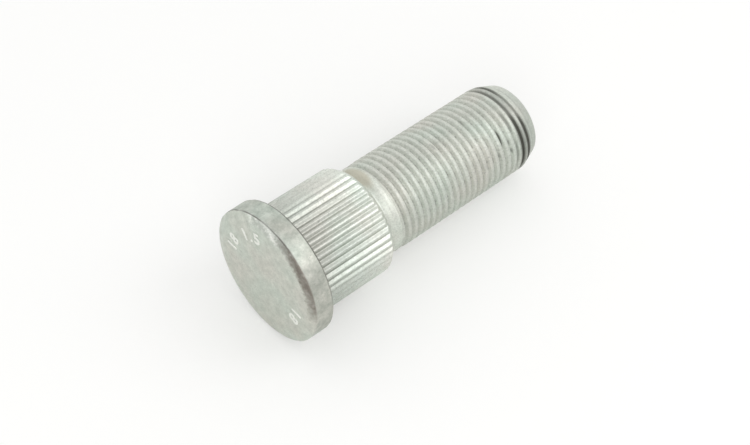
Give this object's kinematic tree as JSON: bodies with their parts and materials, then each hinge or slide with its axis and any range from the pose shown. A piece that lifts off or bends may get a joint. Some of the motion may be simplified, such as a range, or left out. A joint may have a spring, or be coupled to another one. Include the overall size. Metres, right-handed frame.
{
  "type": "wheel stud",
  "caption": "Press-in wheel stud: a round flat head, a splined shank that bites in a hub, a waisted neck and a long fine-threaded end with a tapered tip.",
  "frame": {"origin": "centre of the head's outer face, on which the stud stands", "axes": "+Z along the stud's axis from the head to the thread's end; the section is the same about it, with a spline's crest at +X"},
  "size_m": [0.0264, 0.0264, 0.0609],
  "materials": {
    "zinc_flake_steel": "quenched and tempered steel with a matte grey zinc-flake coat"
  },
  "bodies": {
    "root": {"wheel_stud": "zinc_flake_steel"}
  },
  "joints": []
}
